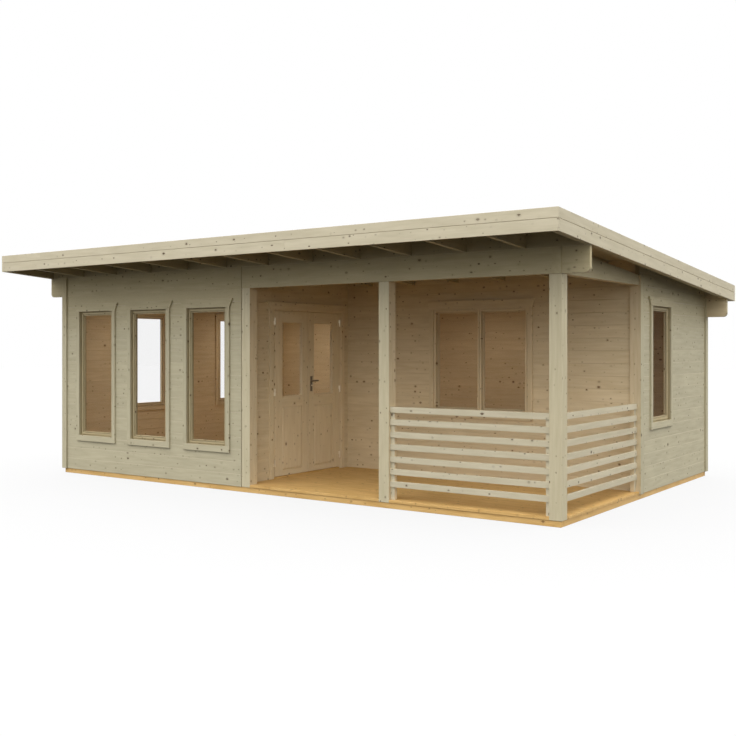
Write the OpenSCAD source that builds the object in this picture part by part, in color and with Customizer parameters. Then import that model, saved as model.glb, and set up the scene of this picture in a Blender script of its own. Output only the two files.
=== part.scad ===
// Garden house of spruce logs: a cabin on an L-shaped plan under one mono-pitch roof,
// with a covered terrace in the front right corner and a double door onto the terrace.
// Millimetres, +Z up. The origin is on the ground, under the middle of the roof.
// Inside the modules, x runs from the left wall face, y from the front wall face to the back.

/* [House] */
// Width of the house over the outer wall faces
house_w = 6750; // [6500:10:8100]
// Depth of the house over the outer wall faces
house_d = 4300; // [3800:10:5160]
// Width of the covered terrace, from the right wall face to the door wall
terrace_w = 3741; // [3000:1:3980]
// Depth of the covered terrace, from the front to its back wall
terrace_d = 1955; // [1900:5:2350]
// Thickness of the wall logs
wall_t = 44; // [36:1:54]
// Height of one log course
course_h = 135; // [112:0.5:162]
// Depth of the chamfer along the upper edge of each log
log_groove = 3; // [1:0.5:6]
// Log courses under the front purlin
front_courses = 16; // [15:1:18]
// Log courses under the back purlin
back_courses = 14; // [12:1:14]

/* [Base and floors] */
// Height of the bearers that the house stands on
base_h = 57; // [45:1:70]
// Width of the front and back bearers
long_bearer_w = 70; // [50:1:100]
// Width of the cross bearers
cross_bearer_w = 45; // [36:1:60]
// Bays between the cross bearers under the left part of the cabin
left_bays = 5; // [4:1:7]
// Bays between the cross bearers under the terrace side
right_bays = 6; // [5:1:8]
// Thickness of the floor boards
floor_t = 27; // [18:1:32]

/* [Posts and beams] */
// Side of the square terrace posts
post_w = 120; // [100:1:140]
// Height of the front purlin over the top wall course, at its front face
purlin_h = 236; // [195:1:285]
// How far the purlin ends stop behind the side fascia boards
purlin_setback = 3; // [0:1:20]
// Radius of the rounded lower corner of a purlin end
purlin_round = 45; // [20:1:80]
// Open joint between the front wall and the first post, and between the beams over them
post_joint = 4; // [2:1:8]
// Distance from the side of the first post to the groove down its face
post_groove_x = 48; // [30:1:90]
// Width of the beam over the open side of the terrace
side_beam_w = 88; // [60:1:110]
// How far the front end of that beam stands proud of the front beam
side_beam_proud = 10; // [4:1:18]

/* [Roof] */
// Fall of the roof to the back, in degrees
roof_pitch = 3.87; // [2:0.01:5]
// Roof overhang at the front
front_overhang = 704; // [500:1:850]
// Roof overhang at the back
back_overhang = 236; // [150:1:320]
// Roof overhang at each side
side_overhang = 283; // [200:1:350]
// Number of rafters
rafter_count = 13; // [9:2:15]
// Width of a rafter
rafter_w = 45; // [36:1:60]
// Plumb height of a rafter
rafter_h = 163; // [136:1:196]
// Plumb thickness of the roof boards
roof_board_t = 19; // [16:1:24]
// Plumb thickness of the roof felt
felt_t = 4; // [3:1:8]
// How far the fascia stands above the felt
fascia_lip = 7; // [4:1:20]
// Thickness of the fascia boards
fascia_t = 20; // [16:1:28]
// Plumb height of the upper fascia board
upper_fascia_h = 86; // [70:1:110]
// Plumb height of the lower fascia board
lower_fascia_h = 104; // [80:1:130]
// Shadow gap between the two fascia boards
fascia_gap = 3; // [2:1:6]

/* [Windows] */
// Clear width inside the casing of a window
window_w = 602; // [500:1:640]
// Drop from the front purlin to the clear top of the windows
window_drop = 198; // [165:1:230]
// Height of the clear foot of the tall front windows over the base
tall_window_foot = 430; // [400:1:515]
// Clear height of the left and right windows
short_window_h = 1245; // [1040:1:1490]
// Clear width inside the casing of the double terrace window
double_window_w = 1217; // [1010:1:1400]
// Clear height of the double terrace window
double_window_h = 1188; // [1040:1:1430]
// Space from the left wall face to the first front window casing
front_window_left = 255; // [200:1:300]
// Space from the last front window casing to the door wall
front_window_right = 167; // [120:1:200]
// Distance between the two windows of the left wall
left_window_pitch = 1680; // [1400:1:2010]
// How far the pair of left windows lies behind the middle of the wall
left_window_shift = 41; // [0:1:80]
// Distance from the terrace back wall to the middle of the right window
right_window_y = 659; // [550:1:790]
// Width of the side casing boards
casing_w = 56; // [44:1:70]
// Height of the bottom casing board
casing_sill_h = 71; // [60:1:85]
// Height of the flared head casing board
casing_head_h = 97; // [80:1:115]
// How far the top of a head casing runs past its foot at each end
casing_flare = 46; // [20:1:55]
// The same for the double terrace window
double_casing_flare = 27; // [10:1:40]
// Thickness of the casing and corner boards
trim_t = 20; // [14:1:26]
// How far the window frame shows inside the casing
frame_show = 12; // [8:1:20]
// How far the window frame reaches behind the casing
frame_lap = 28; // [20:1:34]
// Thickness of the frame lip behind the shadow groove round a sash
frame_lip_t = 10; // [6:1:18]
// Width of the sash stiles and rails
sash_w = 30; // [26:1:40]
// Depth of the sash
sash_t = 46; // [38:1:54]
// How far the sash lies behind the outer wall face
sash_setback = 13; // [4:1:18]
// Thickness of the glass
glass_t = 6; // [4:1:20]
// How deep the glass sits in its groove
glass_rebate = 10; // [6:1:15]

/* [Door] */
// Clear width between the door jambs
door_w = 1236; // [1030:1:1300]
// Distance from the front to the middle of the door
door_y = 1163; // [1130:1:1200]
// Width of the side casing boards of the door
door_casing_w = 64; // [50:1:80]
// Drop from the front purlin to the clear top of the door frame
door_drop = 221; // [190:1:260]
// Width of the door jambs and of the frame head
jamb_w = 45; // [36:1:54]
// Depth of the door frame
jamb_t = 64; // [56:1:76]
// Height of the threshold over the base
threshold_h = 43; // [30:1:52]
// Gap between a leaf and the frame
leaf_gap = 6; // [6:1:8]
// Gap between the two leaves
meeting_gap = 8; // [8:1:10]
// Thickness of a leaf
leaf_t = 40; // [34:1:44]
// Width of the door stop
stop_w = 18; // [14:1:22]
// Width of the leaf stiles at the hinges
hinge_stile_w = 145; // [110:1:160]
// Width of the leaf stiles at the meeting line
lock_stile_w = 160; // [120:1:170]
// Drop from the top of a leaf to its glass
glass_drop = 125; // [100:1:150]
// Height of the door glass
door_glass_h = 852; // [700:1:900]
// Rail between the door glass and the panel
mid_rail_h = 120; // [95:1:145]
// Height of the rail under the panel
bottom_rail_h = 60; // [50:1:90]
// Width of the bevel round the raised panel
panel_border = 32; // [20:1:45]
// Depth of the bevel at the edge of the panel
panel_sink = 9; // [5:1:12]
// How far the door casing lies back from the jamb edge
casing_reveal = 26; // [26:1:34]
// Height of the head casing over the door
door_head_h = 84; // [70:1:100]
// Distance from the top of a leaf to its highest hinge
hinge_drop = 116; // [90:1:150]
// Distance from the foot of a leaf to its lowest hinge
hinge_rise = 150; // [90:1:200]
// Height of a hinge
hinge_h = 80; // [60:1:110]
// Radius of the hinge knuckle
hinge_r = 8; // [6:0.5:8]
// Height of the door lever over the ground
lever_z = 1179; // [1000:1:1200]
// Length of the door lever
lever_l = 85; // [70:1:130]
// Distance from the leaf edge to the middle of the handle plate
handle_inset = 53; // [45:1:65]

/* [Corner boards and balustrades] */
// Width of the boards at the outer wall corners
corner_w = 82; // [65:1:100]
// Width of the front board at the rear corner of the terrace
terrace_corner_w = 120; // [95:1:145]
// Width of the side board at the rear corner of the terrace
terrace_corner_side_w = 100; // [80:1:120]
// Number of rails in a balustrade
rail_count = 7; // [5:1:9]
// Height of a rail
rail_h = 57; // [45:1:70]
// Thickness of a rail
rail_t = 28; // [20:1:35]
// Distance between the rails
rail_pitch = 121; // [100:1:130]
// Height of the lowest rail over the ground
rail_z = 210; // [180:1:260]
// How far the rails lie behind the outer post face
rail_setback = 20; // [5:1:40]
// Side of the upright battens that the rails are housed in
batten_w = 45; // [36:1:55]
// How far the battens lie behind the face of the rails
batten_inset = 14; // [4:1:20]

/* [Hidden] */
$fn = 48;
// A length past every edge of the house, for cuts
far = 12000;
// How far a cut runs past a face, so that it leaves no skin
cut_over = 1;
cabin_w = house_w - terrace_w;
beam_z = base_h + front_courses * course_h;
back_purlin_z = base_h + back_courses * course_h;
roof_front_z = beam_z + purlin_h;
floor_z = base_h + floor_t;
mid_shift = [-house_w / 2, -(house_d + back_overhang - front_overhang) / 2, 0];

// Roof plan over the outer fascia faces
roof_x0 = -side_overhang;
roof_x1 = house_w + side_overhang;
roof_y0 = -front_overhang;
roof_y1 = house_d + back_overhang;
roof_board_z = rafter_h + roof_board_t;
felt_z = roof_board_z + felt_t;
fascia_top = felt_z + fascia_lip;
upper_fascia_z = fascia_top - upper_fascia_h;
lower_fascia_z = upper_fascia_z - fascia_gap;
rafter_x0 = roof_x0 + fascia_t;
rafter_pitch = (roof_x1 - roof_x0 - 2 * fascia_t - rafter_w) / (rafter_count - 1);
purlin_x0 = roof_x0 + fascia_t + purlin_setback;
purlin_x1 = roof_x1 - fascia_t - purlin_setback;

window_head_z = beam_z - window_drop;
tall_window_h = window_head_z - base_h - tall_window_foot;
casing_outer_w = window_w + 2 * casing_w;
front_window_x0 = front_window_left + casing_outer_w / 2;
front_window_x1 = cabin_w - front_window_right - casing_outer_w / 2;
front_window_xs = [front_window_x0, (front_window_x0 + front_window_x1) / 2, front_window_x1];
left_window_mid = house_d / 2 + left_window_shift;
left_window_ys = [left_window_mid - left_window_pitch / 2, left_window_mid + left_window_pitch / 2];
terrace_window_x = cabin_w + terrace_w / 2;

door_head_z = beam_z - door_drop;
door_sill_z = base_h + threshold_h;
leaf_w = (door_w - 2 * leaf_gap - meeting_gap) / 2;
leaf_z = door_sill_z + leaf_gap;
leaf_h = door_head_z - leaf_gap - leaf_z;
door_cut_y0 = door_y - door_w / 2 - jamb_w;
door_cut_y1 = door_y + door_w / 2 + jamb_w;
hinge_clear = 1;
hinge_plate_t = 2;
hinge_plate_w = 20;
hinge_axis_d = -(hinge_r + hinge_clear);
hinge_split = 0.15;
hinge_span = leaf_h - hinge_drop - hinge_rise;
hinge_zs = [for (k = [0 : 2]) leaf_z + hinge_rise + hinge_span * k / 2];

middle_post_x = cabin_w + (terrace_w - post_w) / 2;
post_xs = [cabin_w, middle_post_x, house_w - post_w];

timber = [0.74, 0.70, 0.58];
floor_timber = [0.76, 0.60, 0.36];
pane = [0.80, 0.85, 0.86, 0.35];
metal = [0.29, 0.27, 0.25];
zinc = [0.75, 0.75, 0.73];
felt = [0.24, 0.25, 0.25];

// Height of the rafter undersides at depth y
function roof_z(y) = roof_front_z - y * tan(roof_pitch);

// A slab that follows the roof, from low to high over the rafter undersides, measured plumb
module roof_layer(x0, x1, y0, y1, low, high) {
  translate([x0, 0, 0])
    rotate([90, 0, 90])
      linear_extrude(height = x1 - x0)
        polygon([
          [y0, roof_z(y0) + low], [y1, roof_z(y1) + low],
          [y1, roof_z(y1) + high], [y0, roof_z(y0) + high]
        ]);
}

// A box from one corner to the other
module box(low, high) {
  translate(low) cube(high - low);
}

// A layer over the whole roof, inside the fascia
module roof_sheet(x0, x1, low, high) {
  roof_layer(x0, x1, roof_y0 + fascia_t, roof_y1 - fascia_t, low, high);
}

// Everything below a given height over the rafter undersides
module under_roof(high) {
  roof_sheet(-far, far, -far, high);
}

// Places for things built on a wall: local x along the wall, y into it, z up
module on_front(x) {
  translate([x, 0, 0]) children();
}

module on_terrace(x) {
  translate([x, terrace_d, 0]) children();
}

module on_left(y) {
  translate([0, y, 0]) rotate([0, 0, -90]) children();
}

module on_right(y) {
  translate([house_w, y, 0]) rotate([0, 0, 90]) children();
}

module on_door_wall(y) {
  translate([cabin_w, y, 0]) rotate([0, 0, 90]) children();
}

// Base and floors

module long_bearers() {
  color(floor_timber) translate(mid_shift)
    for (y = [0, house_d - long_bearer_w])
      box([0, y, 0], [house_w, y + long_bearer_w, base_h]);
}

module cross_bearers() {
  last_left = cabin_w - cross_bearer_w;
  last_right = house_w - cross_bearer_w;
  xs = concat(
    [for (k = [0 : left_bays]) last_left * k / left_bays],
    [for (k = [1 : right_bays]) last_left + (last_right - last_left) * k / right_bays]
  );
  color(floor_timber) translate(mid_shift)
    for (x = xs)
      box([x, long_bearer_w, 0], [x + cross_bearer_w, house_d - long_bearer_w, base_h]);
}

module cabin_floor() {
  inner_x = cabin_w - wall_t;
  inner_y = terrace_d + wall_t;
  color(floor_timber) translate(mid_shift)
    difference() {
      translate([0, 0, base_h]) linear_extrude(height = floor_t)
        polygon([
          [wall_t, wall_t], [inner_x, wall_t], [inner_x, inner_y], [house_w - wall_t, inner_y],
          [house_w - wall_t, house_d - wall_t], [wall_t, house_d - wall_t]
        ]);
      door_frame_foot();
    }
}

module terrace_floor() {
  color(floor_timber) translate(mid_shift)
    difference() {
      box([cabin_w, 0, base_h], [house_w, terrace_d, floor_z]);
      for (x = post_xs)
        box([x, 0, 0], [x + post_w, post_w, far]);
      terrace_corner_board();
    }
}

// Walls

module window_cut(w, h) {
  half = w / 2 + frame_lap;
  box([-half, -far, window_head_z - h - frame_lap], [half, far, window_head_z + frame_lap]);
}

// The same cut, only through the wall that it stands on
module wall_cut(w, h) {
  intersection() {
    window_cut(w, h);
    box([-far, -wall_t, 0], [far, 2 * wall_t, far]);
  }
}

// Section of a log wall: both upper edges of each log are chamfered, so that the joints catch the light
module log_section(height) {
  difference() {
    translate([0, base_h]) square([wall_t, height]);
    for (z = [course_h : course_h : height - log_groove], way = [1, -1])
      translate([way > 0 ? 0 : wall_t, base_h + z])
        polygon([[-way, 0], [way * log_groove, 0], [-way, -2 * log_groove - 2]]);
  }
}

// Log walls along x and along y, from their corner with the lowest x and y
module log_wall_x(x0, x1, y, height) {
  translate([x0, y, 0]) rotate([90, 0, 90]) linear_extrude(height = x1 - x0) log_section(height);
}

module log_wall_y(x, y0, y1, height) {
  translate([x, y1, 0]) rotate([90, 0, 0]) linear_extrude(height = y1 - y0) log_section(height);
}

module front_wall() {
  color(timber) translate(mid_shift)
    difference() {
      log_wall_x(0, cabin_w - post_joint, 0, front_courses * course_h);
      for (x = front_window_xs)
        on_front(x) wall_cut(window_w, tall_window_h);
    }
}

// A wall that runs up the roof slope between the rafters, to the roof boards
module sloping_wall(x, y0, y1) {
  difference() {
    intersection() {
      log_wall_y(x, y0, y1, roof_z(y0) + rafter_h + cut_over - base_h);
      under_roof(rafter_h);
    }
    rafter_solids(0, rafter_h + cut_over);
  }
}

module left_wall() {
  color(timber) translate(mid_shift)
    difference() {
      sloping_wall(0, wall_t, house_d - wall_t);
      for (y = left_window_ys)
        on_left(y) wall_cut(window_w, short_window_h);
    }
}

module right_wall() {
  color(timber) translate(mid_shift)
    difference() {
      sloping_wall(house_w - wall_t, terrace_d, house_d - wall_t);
      on_right(terrace_d + right_window_y) wall_cut(window_w, short_window_h);
    }
}

module back_wall() {
  color(timber) translate(mid_shift)
    log_wall_x(0, house_w, house_d - wall_t, back_courses * course_h);
}

module terrace_back_wall() {
  color(timber) translate(mid_shift)
    difference() {
      intersection() {
        log_wall_x(cabin_w, house_w - wall_t, terrace_d, roof_z(terrace_d) + cut_over - base_h);
        under_roof(0);
      }
      on_terrace(terrace_window_x) wall_cut(double_window_w, double_window_h);
    }
}

module door_wall_front() {
  color(timber) translate(mid_shift)
    sloping_wall(cabin_w - wall_t, wall_t, door_cut_y0);
}

module door_wall_rear() {
  color(timber) translate(mid_shift)
    sloping_wall(cabin_w - wall_t, door_cut_y1, terrace_d + wall_t);
}

module door_wall_head() {
  color(timber) translate(mid_shift)
    difference() {
      sloping_wall(cabin_w - wall_t, door_cut_y0, door_cut_y1);
      box([0, 0, 0], [far, far, door_head_z + jamb_w]);
    }
}

// Two boards that cover a wall corner at (x, y); out_x and out_y point outwards
module corner_board(x, y, out_x, out_y, front_w, side_w) {
  translate([x, y, 0]) scale_out(out_x, out_y) {
    box([trim_t - front_w, 0, base_h], [trim_t, trim_t, far]);
    box([0, trim_t - side_w, base_h], [trim_t, trim_t, far]);
  }
}

module terrace_corner_board() {
  corner_board(house_w, terrace_d, 1, -1, terrace_corner_w, terrace_corner_side_w);
}

module scale_out(out_x, out_y) {
  mirror([out_x < 0 ? 1 : 0, 0, 0]) mirror([0, out_y < 0 ? 1 : 0, 0]) children();
}

module corner_boards() {
  color(timber) translate(mid_shift)
    difference() {
      intersection() {
        union() {
          corner_board(0, 0, -1, -1, corner_w, corner_w);
          corner_board(0, house_d, -1, 1, corner_w, corner_w);
          corner_board(house_w, house_d, 1, 1, corner_w, corner_w);
          terrace_corner_board();
        }
        under_roof(0);
      }
      purlin_solid(0, beam_z, purlin_x0, purlin_x1);
      purlin_solid(house_d - wall_t, back_purlin_z, purlin_x0, purlin_x1);
      side_beam_block();
    }
}

// Posts, purlins and beams

module terrace_posts() {
  color(timber) translate(mid_shift)
    difference() {
      for (x = post_xs)
        box([x, 0, base_h], [x + post_w, post_w, beam_z]);
      translate([cabin_w + post_groove_x, 0, 0]) linear_extrude(height = far) circle(r = log_groove, $fn = 4);
    }
}

// The waste outside the rounded lower corner of a purlin end; out is 1 at the right end
module purlin_corner(x, z, out) {
  translate([x, z]) mirror([out > 0 ? 1 : 0, 0])
    difference() {
      translate([-1, -1]) square(purlin_round + 1);
      translate([purlin_round, purlin_round]) circle(r = purlin_round);
    }
}

// A log along the house at depth y, with its top cut to the roof slope
module purlin_solid(y, z, x0, x1) {
  intersection() {
    translate([0, y + wall_t, 0]) rotate([90, 0, 0]) linear_extrude(height = wall_t)
      difference() {
        translate([x0, z]) square([x1 - x0, roof_z(y) + cut_over - z]);
        purlin_corner(purlin_x0, z, -1);
        purlin_corner(purlin_x1, z, 1);
      }
    under_roof(0);
  }
}

// The beam over the open side of the terrace, before it is halved into the front beam
module side_beam_block() {
  intersection() {
    box([house_w - side_beam_w, -side_beam_proud, beam_z], [house_w, terrace_d, far]);
    under_roof(0);
  }
}

halving_z = beam_z + purlin_h / 2;

module front_purlin() {
  color(timber) translate(mid_shift)
    purlin_solid(0, beam_z, purlin_x0, cabin_w - post_joint);
}

module terrace_front_beam() {
  color(timber) translate(mid_shift)
    difference() {
      purlin_solid(0, beam_z, cabin_w, purlin_x1);
      box([house_w - side_beam_w, -far, 0], [house_w, far, halving_z]);
    }
}

module terrace_side_beam() {
  color(timber) translate(mid_shift)
    difference() {
      side_beam_block();
      box([0, 0, halving_z], [far, wall_t, far]);
    }
}

module back_purlin() {
  color(timber) translate(mid_shift)
    purlin_solid(house_d - wall_t, back_purlin_z, purlin_x0, purlin_x1);
}

// Roof

// All the rafters, from low to high over their undersides
module rafter_solids(low, high) {
  for (k = [0 : rafter_count - 1]) {
    x = rafter_x0 + k * rafter_pitch;
    roof_sheet(x, x + rafter_w, low, high);
  }
}

module rafters() {
  color(timber) translate(mid_shift) rafter_solids(0, rafter_h);
}

// Blocks that close the space between the rafters over a wall
module filler_row(x0, x1, y) {
  difference() {
    intersection() {
      box([x0, y, 0], [x1, y + wall_t, far]);
      roof_sheet(-far, far, 0, rafter_h);
    }
    rafter_solids(-cut_over, rafter_h + cut_over);
  }
}

module rafter_fillers() {
  color(timber) translate(mid_shift) {
    filler_row(rafter_x0, rafter_x0 + (rafter_count - 1) * rafter_pitch, 0);
    filler_row(rafter_x0, rafter_x0 + (rafter_count - 1) * rafter_pitch, house_d - wall_t);
    filler_row(cabin_w, house_w - wall_t, terrace_d);
  }
}

module roof_boards() {
  color(timber) translate(mid_shift)
    roof_sheet(roof_x0 + fascia_t, roof_x1 - fascia_t, rafter_h, roof_board_z);
}

module roof_felt() {
  color(felt) translate(mid_shift)
    roof_sheet(roof_x0 + fascia_t, roof_x1 - fascia_t, roof_board_z, felt_z);
}

// A fascia board across the front or the back
module cross_fascia(y, low, high) {
  color(timber) translate(mid_shift)
    roof_layer(roof_x0, roof_x1, y, y + fascia_t, low, high);
}

// The fascia boards down both sides, between the front and the back boards
module side_fascias(low, high) {
  color(timber) translate(mid_shift)
    for (x = [roof_x0, roof_x1 - fascia_t])
      roof_sheet(x, x + fascia_t, low, high);
}

module front_lower_fascia() {
  cross_fascia(roof_y0, lower_fascia_z - lower_fascia_h, lower_fascia_z);
}

module front_upper_fascia() {
  cross_fascia(roof_y0, upper_fascia_z, fascia_top);
}

module back_lower_fascia() {
  cross_fascia(roof_y1 - fascia_t, lower_fascia_z - lower_fascia_h, lower_fascia_z);
}

module back_upper_fascia() {
  cross_fascia(roof_y1 - fascia_t, upper_fascia_z, fascia_top);
}

module side_lower_fascias() {
  side_fascias(lower_fascia_z - lower_fascia_h, lower_fascia_z);
}

module side_upper_fascias() {
  side_fascias(upper_fascia_z, fascia_top);
}

// Windows: the outlines lie in the wall's own plane, x along the wall and y up

// Puts an outline up on the wall, from depth d0 to d1 into it
module stand(d0, d1) {
  translate([0, d1, 0]) rotate([90, 0, 0]) linear_extrude(height = d1 - d0) children();
}

// A rectangle in the middle of a window, grown by the given border on every side
module window_outline(w, h, border) {
  translate([-w / 2 - border, window_head_z - h - border]) square([w + 2 * border, h + 2 * border]);
}

// Four casing boards round a window, the head board flared at its ends
module casing_outline(w, h, flare) {
  half = w / 2 + casing_w;
  difference() {
    union() {
      translate([-half, window_head_z - h - casing_sill_h]) square([2 * half, h + casing_sill_h]);
      polygon([
        [-half, window_head_z], [half, window_head_z],
        [half + flare, window_head_z + casing_head_h],
        [-half - flare, window_head_z + casing_head_h]
      ]);
    }
    window_outline(w, h, 0);
  }
}

module window_casing(w, h, flare) {
  stand(-trim_t, 0) casing_outline(w, h, flare);
}

module window_inner_casing(w, h) {
  stand(wall_t, wall_t + trim_t)
    difference() {
      window_outline(w, h, casing_w);
      window_outline(w, h, 0);
    }
}

// The frame fills the wall behind the casing; its lip lies deep, so that a shadow groove runs round the sash
module window_frame(w, h) {
  difference() {
    stand(0, wall_t) window_outline(w, h, frame_lap);
    stand(-far, wall_t - frame_lip_t) window_outline(w, h, 0);
    stand(-far, far) window_outline(w, h, -frame_show);
  }
}

// One sash and its glass, between x0 and x1
module sash_outline(x0, x1, h, border) {
  z0 = window_head_z - h + frame_show;
  translate([x0 + border, z0 + border])
    square([x1 - x0 - 2 * border, h - 2 * frame_show - 2 * border]);
}

module sash(x0, x1, h) {
  difference() {
    stand(sash_setback, sash_setback + sash_t) sash_outline(x0, x1, h, 0);
    stand(-far, far) sash_outline(x0, x1, h, sash_w);
    sash_glass(x0, x1, h);
  }
}

module sash_glass(x0, x1, h) {
  mid = sash_setback + sash_t / 2;
  stand(mid - glass_t / 2, mid + glass_t / 2) sash_outline(x0, x1, h, sash_w - glass_rebate);
}

// The like part of every single window in its place
module each_single_window() {
  for (x = front_window_xs)
    on_front(x) { $h = tall_window_h; children(); }
  for (y = left_window_ys)
    on_left(y) { $h = short_window_h; children(); }
  on_right(terrace_d + right_window_y) { $h = short_window_h; children(); }
}

module window_casings() {
  color(timber) translate(mid_shift) {
    each_single_window() window_casing(window_w, $h, casing_flare);
    on_terrace(terrace_window_x) window_casing(double_window_w, double_window_h, double_casing_flare);
  }
}

module window_inner_casings() {
  color(timber) translate(mid_shift) {
    each_single_window() window_inner_casing(window_w, $h);
    on_terrace(terrace_window_x) window_inner_casing(double_window_w, double_window_h);
  }
}

module window_frames() {
  color(timber) translate(mid_shift) {
    each_single_window() window_frame(window_w, $h);
    on_terrace(terrace_window_x) window_frame(double_window_w, double_window_h);
  }
}

// The two sashes of the double window part at this gap
sash_meeting_gap = 6;

module window_sashes() {
  half = window_w / 2 - frame_show;
  double_half = double_window_w / 2 - frame_show;
  color(timber) translate(mid_shift) {
    each_single_window() sash(-half, half, $h);
    on_terrace(terrace_window_x) {
      sash(-double_half, -sash_meeting_gap / 2, double_window_h);
      sash(sash_meeting_gap / 2, double_half, double_window_h);
    }
  }
}

module window_glass() {
  half = window_w / 2 - frame_show;
  double_half = double_window_w / 2 - frame_show;
  color(pane) translate(mid_shift) {
    each_single_window() sash_glass(-half, half, $h);
    on_terrace(terrace_window_x) {
      sash_glass(-double_half, -sash_meeting_gap / 2, double_window_h);
      sash_glass(sash_meeting_gap / 2, double_half, double_window_h);
    }
  }
}

// Door: local x runs along the wall to the back of the house, from the middle of the door

module door_jambs() {
  color(timber) translate(mid_shift) on_door_wall(door_y)
    for (x = [-door_w / 2 - jamb_w, door_w / 2])
      box([x, 0, base_h], [x + jamb_w, jamb_t, door_head_z]);
}

module door_frame_head() {
  half = door_w / 2 + jamb_w;
  color(timber) translate(mid_shift) on_door_wall(door_y)
    box([-half, 0, door_head_z], [half, jamb_t, door_head_z + jamb_w]);
}

module door_threshold() {
  color(floor_timber) translate(mid_shift) on_door_wall(door_y)
    box([-door_w / 2, 0, base_h], [door_w / 2, jamb_t, door_sill_z]);
}

// The space that the foot of the door frame takes out of the cabin floor
module door_frame_foot() {
  half = door_w / 2 + jamb_w;
  on_door_wall(door_y) box([-half, 0, 0], [half, jamb_t, far]);
}

// Strips behind the leaves, along the jambs and under the frame head
module door_stops() {
  stop_d = leaf_t + leaf_gap;
  half = door_w / 2;
  part_gap = 1;
  color(timber) translate(mid_shift) on_door_wall(door_y) {
    for (x = [-half, half - stop_w])
      box([x, stop_d, door_sill_z], [x + stop_w, jamb_t, door_head_z]);
    box([-half + stop_w + part_gap, stop_d, door_head_z - stop_w],
        [half - stop_w - part_gap, jamb_t, door_head_z]);
  }
}

module door_casing() {
  half = door_w / 2 + casing_reveal;
  outer = half + door_casing_w;
  foot_z = floor_z;
  head_z = door_head_z + casing_reveal / 2;
  color(timber) translate(mid_shift) on_door_wall(door_y)
    stand(-trim_t, 0) {
      for (x = [-outer, half])
        translate([x, foot_z]) square([door_casing_w, head_z - foot_z]);
      polygon([
        [-outer, head_z], [outer, head_z],
        [outer + casing_flare, head_z + door_head_h], [-outer - casing_flare, head_z + door_head_h]
      ]);
    }
}

// Half of a hinge: its knuckle on the hinge line and a plate beside it; side is 1 for +x
module hinge_half(side, z0, z1) {
  translate([0, hinge_axis_d, z0]) cylinder(r = hinge_r, h = z1 - z0);
  box([side > 0 ? 0 : -hinge_plate_w, -hinge_plate_t, z0],
      [side > 0 ? hinge_plate_w : 0, 0, z1]);
}

// All the hinge halves of one leaf, at the given hinge line
module hinge_halves(x, side, low, high) {
  gap_half = leaf_gap / 2;
  difference() {
    for (z = hinge_zs)
      translate([x, 0, 0]) hinge_half(side, z + low, z + high);
    translate([x - gap_half, -hinge_clear, 0]) cube([leaf_gap, far, far]);
  }
}

hinge_x = door_w / 2 - leaf_gap / 2;

module frame_hinges() {
  color(zinc) translate(mid_shift) on_door_wall(door_y) {
    hinge_halves(-hinge_x, -1, -hinge_h / 2, -hinge_split);
    hinge_halves(hinge_x, 1, -hinge_h / 2, -hinge_split);
  }
}

module left_door_hinges() {
  color(zinc) translate(mid_shift) on_door_wall(door_y)
    hinge_halves(-hinge_x, 1, hinge_split, hinge_h / 2);
}

module right_door_hinges() {
  color(zinc) translate(mid_shift) on_door_wall(door_y)
    hinge_halves(hinge_x, -1, hinge_split, hinge_h / 2);
}

// Openings of a leaf that starts at the meeting line and runs to +x
leaf_x0 = meeting_gap / 2;
door_glass_z1 = leaf_z + leaf_h - glass_drop;
door_glass_z0 = door_glass_z1 - door_glass_h;
panel_z0 = leaf_z + bottom_rail_h;
panel_z1 = door_glass_z0 - mid_rail_h;
panel_x0 = leaf_x0 + lock_stile_w;
panel_x1 = leaf_x0 + leaf_w - hinge_stile_w;

module leaf_glass() {
  mid = leaf_t / 2;
  box([panel_x0 - glass_rebate, mid - glass_t / 2, door_glass_z0 - glass_rebate],
      [panel_x1 + glass_rebate, mid + glass_t / 2, door_glass_z1 + glass_rebate]);
}

// Wedge that is cut along one edge of the panel, deepest at the edge; out is -1 or 1
module panel_wedge(edge, out) {
  reach = panel_border * (1 + cut_over / panel_sink);
  polygon([[edge, -cut_over], [edge - out * reach, -cut_over], [edge, panel_sink]]);
}

// The bevel round the raised panel on the face at y = 0, mitred where its four wedges cross
module panel_bevel() {
  translate([0, 0, panel_z0]) linear_extrude(height = panel_z1 - panel_z0) {
    panel_wedge(panel_x0, -1);
    panel_wedge(panel_x1, 1);
  }
  translate([panel_x1, 0, 0]) rotate([0, -90, 0]) linear_extrude(height = panel_x1 - panel_x0) {
    panel_wedge(panel_z0, -1);
    panel_wedge(panel_z1, 1);
  }
}

module leaf() {
  difference() {
    box([leaf_x0, 0, leaf_z], [leaf_x0 + leaf_w, leaf_t, leaf_z + leaf_h]);
    box([panel_x0, -far, door_glass_z0], [panel_x1, far, door_glass_z1]);
    leaf_glass();
    panel_bevel();
    translate([0, leaf_t, 0]) mirror([0, 1, 0]) panel_bevel();
  }
}

module right_door_leaf() {
  color(timber) translate(mid_shift) on_door_wall(door_y) leaf();
}

module left_door_leaf() {
  color(timber) translate(mid_shift) on_door_wall(door_y) mirror([1, 0, 0]) leaf();
}

module right_door_glass() {
  color(pane) translate(mid_shift) on_door_wall(door_y) leaf_glass();
}

module left_door_glass() {
  color(pane) translate(mid_shift) on_door_wall(door_y) mirror([1, 0, 0]) leaf_glass();
}

// Plate and lever on one face of the right leaf
handle_plate = [36, 7, 179];
handle_plate_over = 55;
handle_reach = 42;
lever_r = 9;

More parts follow.
